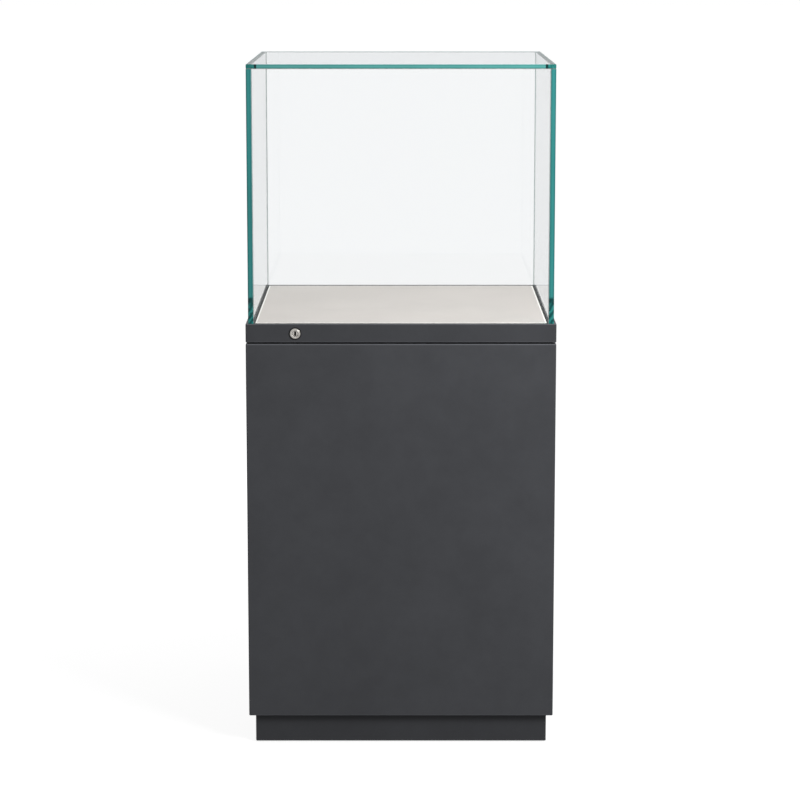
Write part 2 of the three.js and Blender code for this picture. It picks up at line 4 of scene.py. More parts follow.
import bmesh
import bpy
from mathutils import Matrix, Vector

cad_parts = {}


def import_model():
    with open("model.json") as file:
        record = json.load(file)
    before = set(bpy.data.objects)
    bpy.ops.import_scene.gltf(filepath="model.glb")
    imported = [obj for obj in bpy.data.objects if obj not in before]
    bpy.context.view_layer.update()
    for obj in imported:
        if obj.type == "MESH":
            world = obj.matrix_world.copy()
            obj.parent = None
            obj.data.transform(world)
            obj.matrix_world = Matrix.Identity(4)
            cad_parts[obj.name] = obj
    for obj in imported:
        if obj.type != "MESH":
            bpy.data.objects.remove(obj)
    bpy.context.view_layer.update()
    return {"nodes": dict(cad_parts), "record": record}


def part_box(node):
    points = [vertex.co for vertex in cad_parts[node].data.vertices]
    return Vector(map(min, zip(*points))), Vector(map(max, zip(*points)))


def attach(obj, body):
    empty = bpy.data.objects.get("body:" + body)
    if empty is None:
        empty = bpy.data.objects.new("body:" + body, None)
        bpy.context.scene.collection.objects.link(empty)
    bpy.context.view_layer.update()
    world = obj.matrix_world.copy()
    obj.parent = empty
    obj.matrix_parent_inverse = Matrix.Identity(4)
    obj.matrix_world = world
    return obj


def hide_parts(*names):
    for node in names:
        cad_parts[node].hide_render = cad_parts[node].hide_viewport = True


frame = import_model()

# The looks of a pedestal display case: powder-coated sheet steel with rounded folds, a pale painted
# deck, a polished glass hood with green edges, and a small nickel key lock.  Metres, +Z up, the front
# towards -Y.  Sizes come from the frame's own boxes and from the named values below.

MM = 0.001
SHEET = 2 * MM

# ------------------------------------------------------------------ what the frame says

BODY_OF = {
    node: body
    for body, nodes in frame["record"]["behaviour"]["bodies"].items()
    for node in nodes
}
SLOT_OF = {part["node"]: part["material_slot"] for part in frame["record"]["subparts"]}

shell_low, shell_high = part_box("body_shell")
collar_low, collar_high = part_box("collar")
plinth_low, plinth_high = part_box("plinth_frame")
deck_low, deck_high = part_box("deck_board")
panel_low, panel_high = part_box("back_panel")
face_low, face_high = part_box("lock_cylinder")
ring_low, ring_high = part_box("lock_escutcheon")
plug_low, plug_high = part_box("lock_plug")

HALF_W = shell_high.x
HALF_D = shell_high.y
LOCK_AXIS = Vector(((ring_low.x + ring_high.x) / 2, -HALF_D, (ring_low.z + ring_high.z) / 2))

# ------------------------------------------------------------------ mesh helpers


def add_mesh(name, vertices, faces):
    mesh = bpy.data.meshes.new(name)
    mesh.from_pydata([tuple(v) for v in vertices], [], faces)
    mesh.update()
    piece = bpy.data.objects.new(name, mesh)
    bpy.context.scene.collection.objects.link(piece)
    return piece


def apply_modifiers(piece):
    """Replaces the mesh with what its modifiers make of it."""
    graph = bpy.context.evaluated_depsgraph_get()
    mesh = bpy.data.meshes.new_from_object(piece.evaluated_get(graph))
    old = piece.data
    piece.modifiers.clear()
    piece.data = mesh
    mesh.name = piece.name
    bpy.data.meshes.remove(old)


def boolean(piece, others, operation):
    """Cuts others from the piece, or joins them to it, and deletes them."""
    for other in others:
        modifier = piece.modifiers.new(operation.lower(), "BOOLEAN")
        modifier.operation = operation
        modifier.solver = "EXACT"
        modifier.object = other
    bpy.context.view_layer.update()
    apply_modifiers(piece)
    for other in others:
        mesh = other.data
        bpy.data.objects.remove(other)
        bpy.data.meshes.remove(mesh)
    return piece


def smooth(piece, angle=40):
    """Smooth shading across rounded edges, with the flats kept flat."""
    mesh = piece.data
    mesh.shade_smooth()
    mesh.set_sharp_from_angle(angle=math.radians(angle))
    modifier = piece.modifiers.new("flats", "WEIGHTED_NORMAL")
    modifier.weight = 100
    modifier.keep_sharp = True
    bpy.context.view_layer.update()
    apply_modifiers(piece)
    return piece


def block(name, low, high, bevel=0.0, segments=3):
    """A box between two corners, its edges rounded by bevel, or chamfered with one segment."""
    piece = add_mesh(name, [], [])
    bm = bmesh.new()
    bmesh.ops.create_cube(bm, size=1)
    size = [high[k] - low[k] for k in range(3)]
    middle = [(high[k] + low[k]) / 2 for k in range(3)]
    bmesh.ops.scale(bm, vec=size, verts=bm.verts)
    bmesh.ops.translate(bm, vec=middle, verts=bm.verts)
    if bevel > 0:
        bmesh.ops.bevel(bm, geom=bm.edges[:], offset=bevel, segments=segments,
                        profile=0.5, affect="EDGES", clamp_overlap=True)
    bm.to_mesh(piece.data)
    bm.free()
    return piece


def rounded(corners, steps=4):
    """A closed outline of (u, v, radius) corners as points, with an arc at each radius."""
    points = []
    count = len(corners)
    for index, (u, v, radius) in enumerate(corners):
        here = Vector((u, v))
        before = Vector(corners[index - 1][:2]) - here
        after = Vector(corners[(index + 1) % count][:2]) - here
        if radius <= 0:
            points.append(tuple(here))
            continue
        before.normalize()
        after.normalize()
        half = math.acos(max(-1, min(1, before.dot(after)))) / 2
        reach = radius / math.tan(half)
        middle = here + (before + after).normalized() * radius / math.sin(half)
        start = here + before * reach - middle
        end = here + after * reach - middle
        turn = math.pi - 2 * half
        for step in range(steps + 1):
            share = step / steps
            weight_a = math.sin((1 - share) * turn) / math.sin(turn)
            weight_b = math.sin(share * turn) / math.sin(turn)
            points.append(tuple(middle + start * weight_a + end * weight_b))
    return points


def sweep(name, section, corner_radius, steps=6):
    """A section of (inset, z) points carried round the case's rounded square plan."""
    quarters = [(1, 1), (-1, 1), (-1, -1), (1, -1)]
    rows = []
    for inset, z in section:
        radius = max(corner_radius - inset, 0.3 * MM)
        row = []
        for quarter, (side_x, side_y) in enumerate(quarters):
            x = side_x * (HALF_W - inset - radius)
            y = side_y * (HALF_D - inset - radius)
            for step in range(steps + 1):
                angle = (quarter + step / steps) * math.pi / 2
                row.append((x + radius * math.cos(angle), y + radius * math.sin(angle), z))
        rows.append(row)
    around = len(rows[0])
    count = len(rows)
    vertices = [point for row in rows for point in row]
    faces = []
    for i in range(count):
        for j in range(around):
            a = i * around + j
            b = i * around + (j + 1) % around
            c = ((i + 1) % count) * around + (j + 1) % around
            d = ((i + 1) % count) * around + j
            faces.append((a, b, c, d))
    piece = add_mesh(name, vertices, faces)
    recalculate(piece)
    return piece


def recalculate(piece):
    bm = bmesh.new()
    bm.from_mesh(piece.data)
    bmesh.ops.recalc_face_normals(bm, faces=bm.faces)
    bm.to_mesh(piece.data)
    bm.free()


def lathe(name, profile, centre, axis="Y", steps=64):
    """A closed profile of (radius, height) turned round an axis through the centre."""
    vertices = []
    rows = []
    for radius, height in profile:
        row = []
        ring = 1 if radius < 1e-7 else steps
        for step in range(ring):
            angle = 2 * math.pi * step / steps
            across = (radius * math.cos(angle), radius * math.sin(angle))
            offset = {
                "Y": (across[0], height, across[1]),
                "Z": (across[0], across[1], height),
            }[axis]
            row.append(len(vertices))
            vertices.append(Vector(centre) + Vector(offset))
        rows.append(row)
    faces = []
    closed = profile[0][0] > 1e-7
    pairs = list(zip(rows, rows[1:] + rows[:1])) if closed else list(zip(rows, rows[1:]))
    for low, high in pairs:
        for step in range(steps):
            after = (step + 1) % steps
            quad = [low[step % len(low)], low[after % len(low)],
                    high[after % len(high)], high[step % len(high)]]
            unique = list(dict.fromkeys(quad))
            if len(unique) > 2:
                faces.append(tuple(unique))
    piece = add_mesh(name, vertices, faces)
    recalculate(piece)
    return piece


def prism(name, outline, span, origin=(0, 0, 0)):
    """An outline of (x, z) points extruded from front to back."""
    count = len(outline)
    vertices = [Vector(origin) + Vector((x, y, z)) for y in span for x, z in outline]
    faces = [tuple(range(count)), tuple(range(2 * count - 1, count - 1, -1))]
    for i in range(count):
        j = (i + 1) % count
        faces.append((i, j, count + j, count + i))
    piece = add_mesh(name, vertices, faces)
    recalculate(piece)
    return piece


def stand_for(piece, node, *materials):
    """The piece takes the node's place, on its body and in its slot."""
    for material in materials:
        piece.data.materials.append(material)
    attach(piece, BODY_OF[node])
    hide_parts(node)
    return piece


# ------------------------------------------------------------------ material helpers


class Graph:
    """A new material's node tree."""

    def __init__(self, name):
        self.material = bpy.data.materials.new(name)
        self.material.use_nodes = True
        self.tree = self.material.node_tree
        self.tree.nodes.clear()
        self.output = self.add("ShaderNodeOutputMaterial")
        self.place = self.add("ShaderNodeTexCoord").outputs["Object"]

    def add(self, kind, **settings):
        node = self.tree.nodes.new(kind)
        for key, value in settings.items():
            setattr(node, key, value)
        return node

    def link(self, source, target):
        self.tree.links.new(source, target)

    def principled(self, **values):
        shader = self.add("ShaderNodeBsdfPrincipled")
        for key, value in values.items():
            shader.inputs[key.replace("_", " ")].default_value = value
        self.link(shader.outputs["BSDF"], self.output.inputs["Surface"])
        return shader

    def stretched(self, scale):
        """Object coordinates scaled by three factors, for grain that runs one way."""
        mapping = self.add("ShaderNodeMapping")
        mapping.inputs["Scale"].default_value = scale
        self.link(self.place, mapping.inputs["Vector"])
        return mapping.outputs["Vector"]

    def axes(self):
        """The three object coordinates, each as a number."""
        split = self.add("ShaderNodeSeparateXYZ")
        self.link(self.place, split.inputs["Vector"])
        return split.outputs["X"], split.outputs["Y"], split.outputs["Z"]

    def noise(self, scale, detail=2.0, roughness=0.5, vector=None):
        node = self.add("ShaderNodeTexNoise")
        node.inputs["Scale"].default_value = scale
        node.inputs["Detail"].default_value = detail
        node.inputs["Roughness"].default_value = roughness
        self.link(vector or self.place, node.inputs["Vector"])
        return node.outputs["Fac"]

    def spread(self, source, low, high, start=0.3, end=0.7):
        """source between start and end as a number between low and high."""
        node = self.add("ShaderNodeMapRange")
        node.inputs["From Min"].default_value = start
        node.inputs["From Max"].default_value = end
        node.inputs["To Min"].default_value = low
        node.inputs["To Max"].default_value = high
        self.link(source, node.inputs["Value"])
        return node.outputs["Result"]

    def ramp(self, source, *stops):
        """Colours along a factor: each stop is (position, colour)."""
        node = self.add("ShaderNodeValToRGB")
        elements = node.color_ramp.elements
        while len(elements) < len(stops):
            elements.new(0.5)
        for element, (position, colour) in zip(elements, stops):
            element.position = position
            element.color = (*colour, 1)
        self.link(source, node.inputs["Fac"])
        return node.outputs["Color"]

    def blend(self, factor, one, two, mode="MIX"):
        """Two colours mixed; each is a socket or a colour."""
        node = self.add("ShaderNodeMix", data_type="RGBA", blend_type=mode)
        colours = [socket for socket in node.inputs if socket.type == "RGBA"]
        for value, socket in ((factor, node.inputs[0]), (one, colours[0]), (two, colours[1])):
            if isinstance(value, bpy.types.NodeSocket):
                self.link(value, socket)
            elif isinstance(value, tuple):
                socket.default_value = (*value, 1)
            else:
                socket.default_value = value
        return next(socket for socket in node.outputs if socket.type == "RGBA")

    def math(self, operation, *values):
        node = self.add("ShaderNodeMath", operation=operation)
        for value, socket in zip(values, node.inputs):
            if isinstance(value, bpy.types.NodeSocket):
                self.link(value, socket)
            else:
                socket.default_value = value
        return node.outputs[0]

    def bump(self, height, depth, strength=1.0, over=None):
        """Relief of the given depth in metres."""
        node = self.add("ShaderNodeBump")
        node.inputs["Strength"].default_value = strength
        node.inputs["Distance"].default_value = depth
        self.link(height, node.inputs["Height"])
        if over is not None:
            self.link(over, node.inputs["Normal"])
        return node.outputs["Normal"]


def linear(red, green, blue):
    """An sRGB colour of 0 to 255 as the linear values that shaders take."""
    def one(value):
        value /= 255
        return value / 12.92 if value <= 0.04045 else ((value + 0.055) / 1.055) ** 2.4
    return one(red), one(green), one(blue)


def shaded(colour, share):
    return tuple(share * value for value in colour)


# ------------------------------------------------------------------ materials

GLASS_INDEX = 1.5
GLASS_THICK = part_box("glass_left")[1].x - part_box("glass_left")[0].x
FOOT_TOP = collar_high.z + 52 * MM  # up to here the uprights' edges show the dark collar inside them
POOL_HEIGHT = FOOT_TOP - 8 * MM  # the darkest place in them
STREAK_PITCH = 16 * MM
STREAK_SLANT = 1.3  # rise of the streaks over their run
TOP_MIRROR = 0.16  # the most that the coated top gives back, however low the eye
SIDE_MIRROR = 0.3  # and the upright panels
EDGE_SHINE = 0.15  # specular level of the polished edges
CORNER_DARK = 20 * MM  # from a corner to the dark spot in the top's edge
POWDER_GREY = linear(62, 63, 66)
POWDER_SHINE = 0.15  # specular level of the coat
CLOUDING = 0.08  # how far the coat's tone drifts either way
FOLD_HIGHLIGHT_SHARE = 1.8  # painted highlight: how much paler the coat is made on its level folds
PLINTH_SHADE_SHARE = 0.74  # painted shade: how much darker the plinth's coat is made, for the shade under the body's overhang
COLLAR_SHARE = 0.88  # how much darker the collar's coat is made than the body's
DECK_GREY = linear(210, 204, 199)
# colour of the painted highlight along the deck's edge
DECK_RIM_HIGHLIGHT = linear(250, 248, 243)
RIM_HIGHLIGHT_WIDTH = 3.0 * MM  # width of the painted highlight along the deck's edge
DECK_IN = 1.2 * MM  # the board's painted edge inside the room left for it
TURNING_PITCH = 0.45 * MM  # of the lathe's rings on the lock's face


def powder_coat(name, tone_share=1.0):
    """Satin fine-texture powder coat: cloudy in tone, with the fine peel of a sprayed coat."""
    g = Graph(name)
    shader = g.principled(Roughness=0.5, Specular_IOR_Level=POWDER_SHINE)
    cloud = g.noise(6.0, detail=5.0, roughness=0.55)
    patch = g.noise(24.0, detail=5.0, roughness=0.6)
    speck = g.noise(900.0, detail=1.0)
    # tone_share scales the colour: paler for the painted highlight on folds, darker for the painted
    # shade on the plinth, and darker on the collar
    dark = shaded(POWDER_GREY, (1 - CLOUDING) * tone_share)
    pale = shaded(POWDER_GREY, (1 + CLOUDING) * tone_share)
    tone = g.ramp(g.math("ADD", g.math("MULTIPLY", cloud, 0.55), g.math("MULTIPLY", patch, 0.45)),
                  (0.36, dark), (0.64, pale))
    grain = g.ramp(speck, (0.3, (0.93, 0.93, 0.93)), (0.7, (1.06, 1.06, 1.06)))
    g.link(g.blend(1.0, tone, grain, "MULTIPLY"), shader.inputs["Base Color"])
    g.link(g.spread(patch, 0.44, 0.56), shader.inputs["Roughness"])
    peel = g.bump(g.noise(420.0, detail=2.0), 0.03 * MM, 0.6)
    g.link(g.bump(g.noise(1500.0, detail=1.0), 0.012 * MM, 0.5, over=peel), shader.inputs["Normal"])
    return g.material


def deck_paint():
    """Fine-stippled matt paint on board, faintly uneven in tone, with a painted highlight along its
    edge.
    """
    g = Graph("deck_paint")
    shader = g.principled(Roughness=0.82)
    cloud = g.noise(9.0, detail=4.0)
    dark = shaded(DECK_GREY, 0.95)
    tone = g.ramp(cloud, (0.35, dark), (0.65, DECK_GREY))
    x, y, _ = g.axes()
    reach = g.math("MAXIMUM", g.math("ABSOLUTE", x), g.math("ABSOLUTE", y))
    # painted highlight: a pale band along the board's edge
    border = deck_high.x - DECK_IN - RIM_HIGHLIGHT_WIDTH
    rim = g.spread(reach, 0.0, 1.0, border - 0.3 * MM, border + 0.3 * MM)
    tone = g.blend(rim, tone, DECK_RIM_HIGHLIGHT)
    stipple = g.noise(520.0, detail=3.0, roughness=0.6)
    shade = g.ramp(stipple, (0.3, (0.95, 0.95, 0.945)), (0.7, (1.02, 1.02, 1.02)))
    g.link(g.blend(1.0, tone, shade, "MULTIPLY"), shader.inputs["Base Color"])
    g.link(g.bump(stipple, 0.06 * MM, 0.7), shader.inputs["Normal"])
    return g.material


def shadowless(g, shader, tint):
    """Lets lamps and bounced light pass the glass straight, with its tint; the eye sees the shader."""
    path = g.add("ShaderNodeLightPath")
    clear = g.add("ShaderNodeBsdfTransparent")
    clear.inputs["Color"].default_value = (*tint, 1)
    mix = g.add("ShaderNodeMixShader")
    straight = g.math("MAXIMUM", path.outputs["Is Shadow Ray"], path.outputs["Is Diffuse Ray"])
    g.link(straight, mix.inputs["Fac"])
    g.link(shader, mix.inputs[1])
    g.link(clear.outputs["BSDF"], mix.inputs[2])
    g.link(mix.outputs["Shader"], g.output.inputs["Surface"])


def coated_glass(name, most, tint):
    """Low-iron glass, all but colourless, with a coating that keeps its mirror weak at a low angle."""
    g = Graph(name)
    through = g.add("ShaderNodeBsdfRefraction")
    through.inputs["Color"].default_value = (*tint, 1)
    through.inputs["Roughness"].default_value = 0.0
    through.inputs["IOR"].default_value = GLASS_INDEX
    mirror = g.add("ShaderNodeBsdfAnisotropic")
    mirror.inputs["Roughness"].default_value = 0.0
    fresnel = g.add("ShaderNodeFresnel")
    fresnel.inputs["IOR"].default_value = GLASS_INDEX
    both = g.add("ShaderNodeMixShader")
    g.link(g.math("MINIMUM", fresnel.outputs["Fac"], most), both.inputs["Fac"])
    g.link(through.outputs["BSDF"], both.inputs[1])
    g.link(mirror.outputs["BSDF"], both.inputs[2])
    shadowless(g, both.outputs["Shader"], (0.985, 0.99, 0.99))
    return g.material


def glass_bond():
    """A ground edge in its clear glue line: pale grey, half lit through."""
    g = Graph("glass_bond")
    shader = g.principled(Roughness=0.35, IOR=1.3, Transmission_Weight=0.35)
    cloud = g.noise(70.0, detail=4.0, roughness=0.6)
    g.link(g.ramp(cloud, (0.35, linear(112, 124, 121)), (0.65, linear(138, 148, 146))),
           shader.inputs["Base Color"])
    g.link(g.bump(g.noise(900.0), 0.02 * MM, 0.4), shader.inputs["Normal"])
    shadowless(g, shader.outputs["BSDF"], (0.85, 0.9, 0.89))
    return g.material


def edge_shader(name):
    g = Graph(name)
    return g, g.principled(Roughness=0.1, Specular_IOR_Level=EDGE_SHINE)


def upright_edge():
    """A polished edge: light from inside the sheet comes out green, deepest towards the foot."""
    g, shader = edge_shader("glass_edge_upright")
    x, _, z = g.axes()
    across = g.math("ABSOLUTE", x)
    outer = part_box("glass_right")[1].x
    band = g.ramp(g.spread(across, 0.0, 1.0, outer - GLASS_THICK, outer),
                  (0.0, linear(47, 115, 115)), (0.22, linear(37, 112, 111)),
                  (0.5, linear(48, 125, 123)), (0.78, linear(42, 118, 117)),
                  (0.92, linear(14, 86, 86)), (1.0, linear(48, 108, 108)))
    drift = g.noise(14.0, detail=3.0, roughness=0.55, vector=g.stretched((1, 1, 0.3)))
    shade = g.ramp(drift, (0.32, (0.88, 0.9, 0.9)), (0.68, (1.1, 1.08, 1.08)))
    tone = g.blend(1.0, band, shade, "MULTIPLY")
    slant = g.math("SUBTRACT", z, g.math("MULTIPLY", x, STREAK_SLANT))
    ripple = g.noise(90.0, detail=3.0, roughness=0.6)
    streak = g.math("SINE", g.math("ADD", g.math("MULTIPLY", slant, 2 * math.pi / STREAK_PITCH),
                                   g.math("MULTIPLY", ripple, 9.0)))
    foot_tone = g.ramp(g.spread(streak, 0.0, 1.0, -1.0, 1.0),
                       (0.1, linear(4, 68, 68)), (0.6, linear(16, 97, 94)),
                       (0.95, linear(40, 120, 116)))
    pool = g.math("ABSOLUTE", g.math("SUBTRACT", z, POOL_HEIGHT))
    dark = g.spread(g.math("ADD", pool, g.math("MULTIPLY", ripple, 6 * MM)), 1.0, 0.0, 6 * MM, 13 * MM)
    foot_tone = g.blend(g.math("MULTIPLY", dark, 0.85), foot_tone, linear(0, 48, 50))
    wobble = g.math("ADD", z, g.math("MULTIPLY", ripple, 8 * MM))
    foot = g.spread(wobble, 1.0, 0.0, FOOT_TOP, FOOT_TOP + 4 * MM)
    g.link(g.blend(foot, tone, foot_tone), shader.inputs["Base Color"])
    g.link(g.bump(ripple, 0.05 * MM, 0.3), shader.inputs["Normal"])
    shadowless(g, shader.outputs["BSDF"], (0.8, 0.93, 0.92))
    return g.material


def top_edge():
    """The top sheet's edge: a painted highlight along its middle, and dark where an upright's corner
    shows in it.
    """
    g, shader = edge_shader("glass_edge_top")
    x, y, z = g.axes()
    low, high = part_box("glass_top")
    band = g.ramp(g.spread(z, 0.0, 1.0, low.z, high.z),
                  (0.0, linear(106, 164, 160)), (0.2, linear(60, 130, 126)), (0.5, linear(80, 148, 144)),
                  (0.82, linear(57, 127, 122)), (1.0, linear(128, 176, 174)))
    drift = g.noise(11.0, detail=3.0, roughness=0.55)
    shade = g.ramp(drift, (0.32, (0.93, 0.94, 0.94)), (0.68, (1.06, 1.05, 1.05)))
    tone = g.blend(1.0, band, shade, "MULTIPLY")
    fleck = g.noise(260.0, detail=2.0, roughness=0.6)
    corner_tone = g.ramp(fleck, (0.34, linear(10, 84, 80)), (0.66, linear(44, 124, 119)))
    along = g.math("MINIMUM", g.math("ABSOLUTE", x), g.math("ABSOLUTE", y))
    corner = g.spread(along, 0.0, 1.0, high.x - CORNER_DARK, high.x - CORNER_DARK + MM)
    tone = g.blend(corner, tone, corner_tone)
    patch = g.math("ABSOLUTE", g.math("SUBTRACT", along, high.x - CORNER_DARK + 2 * MM))
    dark = g.spread(patch, 1.0, 0.0, 1.6 * MM, 2.6 * MM)
    g.link(g.blend(dark, tone, linear(0, 34, 34)), shader.inputs["Base Color"])
    g.link(g.bump(fleck, 0.05 * MM, 0.3), shader.inputs["Normal"])
    shadowless(g, shader.outputs["BSDF"], (0.8, 0.93, 0.92))
    return g.material


def zinc_plate():
    """Bright zinc on steel, with soft spangles."""
    g = Graph("zinc_plate")
    shader = g.principled(Metallic=1.0, Roughness=0.4)
    cells = g.add("ShaderNodeTexVoronoi")
    cells.inputs["Scale"].default_value = 120.0
    g.link(g.place, cells.inputs["Vector"])
    cloud = g.noise(60.0, detail=4.0)
    tone = g.ramp(cells.outputs["Distance"], (0.0, linear(176, 180, 183)), (0.9, linear(158, 163, 168)))
    shade = g.ramp(cloud, (0.3, (0.9, 0.9, 0.9)), (0.7, (1.04, 1.04, 1.04)))
    g.link(g.blend(1.0, tone, shade, "MULTIPLY"), shader.inputs["Base Color"])
    g.link(g.spread(cloud, 0.32, 0.5), shader.inputs["Roughness"])
    g.link(g.bump(g.noise(700.0), 0.01 * MM, 0.4), shader.inputs["Normal"])
    return g.material


def turned_nickel(name, satin, gloss):
    """Nickel with the fine rings of the lathe round the lock's axis, its roughness between two."""
    g = Graph(name)
    shader = g.principled(Metallic=1.0, Roughness=0.3)
    offset = g.add("ShaderNodeVectorMath", operation="SUBTRACT")
    offset.inputs[1].default_value = LOCK_AXIS
    g.link(g.place, offset.inputs[0])
    flat = g.add("ShaderNodeVectorMath", operation="MULTIPLY")
    flat.inputs[1].default_value = (1, 0, 1)
    g.link(offset.outputs["Vector"], flat.inputs[0])
    length = g.add("ShaderNodeVectorMath", operation="LENGTH")
    g.link(flat.outputs["Vector"], length.inputs[0])
    rings = g.math("SINE", g.math("MULTIPLY", length.outputs["Value"], 2 * math.pi / TURNING_PITCH))
    dust = g.noise(260.0, detail=4.0, roughness=0.6)
    tone = g.ramp(dust, (0.3, linear(146, 142, 137)), (0.7, linear(188, 185, 180)))
    g.link(tone, shader.inputs["Base Color"])
    g.link(g.spread(dust, gloss, satin), shader.inputs["Roughness"])
    g.link(g.bump(rings, 0.012 * MM, 0.5), shader.inputs["Normal"])
    return g.material


def black_metal(name, dark, pale):
    """Black oxide steel, a little dusty; also a near-black painted shade for the inside of the keyway.
    """
    g = Graph(name)
    shader = g.principled(Roughness=0.45, Specular_IOR_Level=0.15)
    dust = g.noise(150.0, detail=4.0)
    g.link(g.ramp(dust, (0.35, dark), (0.75, pale)), shader.inputs["Base Color"])
    g.link(g.spread(dust, 0.36, 0.6), shader.inputs["Roughness"])
    g.link(g.bump(g.noise(900.0), 0.01 * MM, 0.4), shader.inputs["Normal"])
    return g.material


def anodised():
    """Anodised aluminium strip, drawn along its length."""
    g = Graph("anodised")
    shader = g.principled(Metallic=1.0, Roughness=0.38)
    grain = g.noise(1.0, detail=3.0, vector=g.stretched((60, 60, 3000)))
    g.link(g.ramp(grain, (0.3, linear(128, 131, 133)), (0.7, linear(158, 161, 163))),
           shader.inputs["Base Color"])
    g.link(g.bump(grain, 0.01 * MM, 0.4), shader.inputs["Normal"])
    return g.material


def black_rubber():
    """Matt rubber with a dusting and a fine skin."""
    g = Graph("black_rubber")
    shader = g.principled(Roughness=0.8, Specular_IOR_Level=0.1)
    dust = g.noise(90.0, detail=4.0)
    g.link(g.ramp(dust, (0.35, linear(16, 17, 17)), (0.7, linear(32, 33, 33))),
           shader.inputs["Base Color"])
    g.link(g.bump(g.noise(1100.0, detail=2.0), 0.04 * MM, 0.6), shader.inputs["Normal"])
    return g.material


def foam():
    """Closed-cell foam tape: fine pits all over."""
    g = Graph("foam")
    shader = g.principled(Roughness=0.95)
    cells = g.add("ShaderNodeTexVoronoi")
    cells.inputs["Scale"].default_value = 1400.0
    g.link(g.place, cells.inputs["Vector"])
    g.link(g.ramp(cells.outputs["Distance"], (0.0, linear(30, 30, 31)), (0.8, linear(56, 56, 58))),
           shader.inputs["Base Color"])
    g.link(g.bump(cells.outputs["Distance"], 0.15 * MM, 0.8), shader.inputs["Normal"])
    return g.material


MATERIALS = {
    "powder_coat": powder_coat("powder_coat"),
    "zinc_plate": zinc_plate(),
    "bright_metal": turned_nickel("satin_nickel", 0.4, 0.24),
    "black_metal": black_metal("black_metal", linear(10, 10, 11), linear(24, 24, 26)),
    "aluminium": anodised(),
    "black_rubber": black_rubber(),
    "foam": foam(),
    "deck_paint": deck_paint(),
    "clear_glass": coated_glass("side_glass", SIDE_MIRROR, (0.981, 0.985, 0.987)),
}
# painted highlight: a paler copy of the coat for the level folds of the sheet
POWDER_FOLD_HIGHLIGHT = powder_coat("powder_coat_fold_highlight", FOLD_HIGHLIGHT_SHARE)
# painted shade: a darker copy of the coat for the plinth, in the shade under the body
POWDER_PLINTH_SHADE = powder_coat("powder_coat_plinth_shade", PLINTH_SHADE_SHARE)
POWDER_COLLAR = powder_coat("powder_coat_collar", COLLAR_SHARE)
# painted shade: near-black for the keyway's walls and floor, where shade falls
KEYWAY_SHADE = black_metal("keyway_painted_shade", linear(6, 6, 6), linear(16, 16, 16))
BRIGHT_RIM = turned_nickel("polished_nickel", 0.22, 0.14)
TOP_GLASS = coated_glass("top_glass", TOP_MIRROR, (0.945, 0.952, 0.958))
UPRIGHT_EDGE = upright_edge()
TOP_EDGE = top_edge()
GLASS_BOND = glass_bond()


def finish_nodes():
    """Every node of the frame takes its slot's material; the ones that show are replaced later."""
    for name, node in frame["nodes"].items():
        node.data.materials.clear()
        node.data.materials.append(MATERIALS[SLOT_OF[name]])


# ------------------------------------------------------------------ sheet metal

FOLD = 2.0 * MM  # outer radius of a fold
INNER_FOLD = 0.5 * MM
RAW_EDGE = 0.3 * MM  # eased edge of cut sheet
BODY_TOP_FLANGE = 40 * MM
BODY_FOOT_FLANGE = 35 * MM
PLINTH_TOP_FLANGE = 25 * MM
PLINTH_FOOT_FLANGE = 14 * MM
BACK_BORDER = 30 * MM
BACK_CORNER = 4 * MM
PANEL_GAP = 0.6 * MM
BASE_BOLT_HOLE = 4.3 * MM
COLLAR_SCREW_HOLE = 3.3 * MM
PANEL_SCREW_HOLE = 2.3 * MM
FLAT_ABOVE = 0.995  # a face is square to an axis when its normal's part along it is above this


def channel(inset, low, high, top_flange, foot_flange):
    """The section of a folded wall with a flange inwards at its top and at its foot."""
    return rounded([
        (inset, low, FOLD),
        (inset, high, FOLD),
        (inset + top_flange, high, RAW_EDGE),
        (inset + top_flange, high - SHEET, RAW_EDGE),
        (inset + SHEET, high - SHEET, INNER_FOLD),
        (inset + SHEET, low + SHEET, INNER_FOLD),
        (inset + foot_flange, low + SHEET, RAW_EDGE),
        (inset + foot_flange, low, RAW_EDGE),
    ])


def stand_for_folded(piece, node, coat=None):
    """A coated piece, with a painted highlight: a paler copy of the coat on its level folds."""
    stand_for(smooth(piece), node, coat or MATERIALS["powder_coat"], POWDER_FOLD_HIGHLIGHT)
    for face in piece.data.polygons:
        # painted highlight: the faces of the rounded level folds take the paler coat
        bent = FLAT_ABOVE > abs(face.normal.z) > 1 - FLAT_ABOVE
        leans = max(abs(face.normal.x), abs(face.normal.y)) < FLAT_ABOVE
        face.material_index = 1 if bent and leans else 0
    return piece


def upright_drill(node, radius, low, high):
    """A cutter down the middle of a fastener's node."""
    first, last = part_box(node)
    x, y = (first.x + last.x) / 2, (first.y + last.y) / 2
    profile = [(0, low), (radius, low), (radius, high), (0, high)]
    return lathe(f"drill_{node}", profile, (x, y, 0), axis="Z", steps=24)


CORNER_NAMES = ("front_left", "front_right", "back_left", "back_right")
SIDE_NAMES = ("front", "back", "left", "right")


